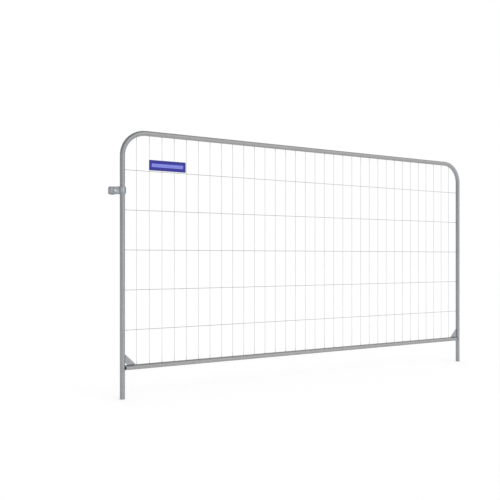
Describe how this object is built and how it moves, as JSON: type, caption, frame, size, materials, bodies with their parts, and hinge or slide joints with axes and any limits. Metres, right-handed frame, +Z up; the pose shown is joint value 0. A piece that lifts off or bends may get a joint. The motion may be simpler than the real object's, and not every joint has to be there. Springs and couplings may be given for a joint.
{
  "type": "temporary fence panel",
  "caption": "Tall mesh fence panel of bent round steel tube with a bottom rail, corner gussets, a blank sign plate and a two-collar coupler on one post.",
  "frame": {"origin": "centre of the left post's foot, on its flat end", "axes": "+X along the panel to the right post, -Y to the front that carries the sign, +Z up"},
  "size_m": [3.54, 0.1104, 2],
  "materials": {
    "frame_zinc": "galvanised, dull",
    "wire_zinc": "galvanised, dull",
    "plate_zinc": "galvanised, dull",
    "coupler_zinc": "zinc plated, satin",
    "bolt_zinc": "zinc plated, bright",
    "sign_paint": "blue enamel, satin"
  },
  "bodies": {
    "root": {"frame_tube": "frame_zinc", "bottom_rail": "frame_zinc", "wire_mesh": "wire_zinc", "gusset_left": "plate_zinc", "gusset_right": "plate_zinc", "sign_plate": "sign_paint", "coupler_front_half": "coupler_zinc", "coupler_back_half": "coupler_zinc", "coupler_bolt": "bolt_zinc", "coupler_washer": "bolt_zinc", "coupler_nut": "bolt_zinc"}
  },
  "joints": []
}
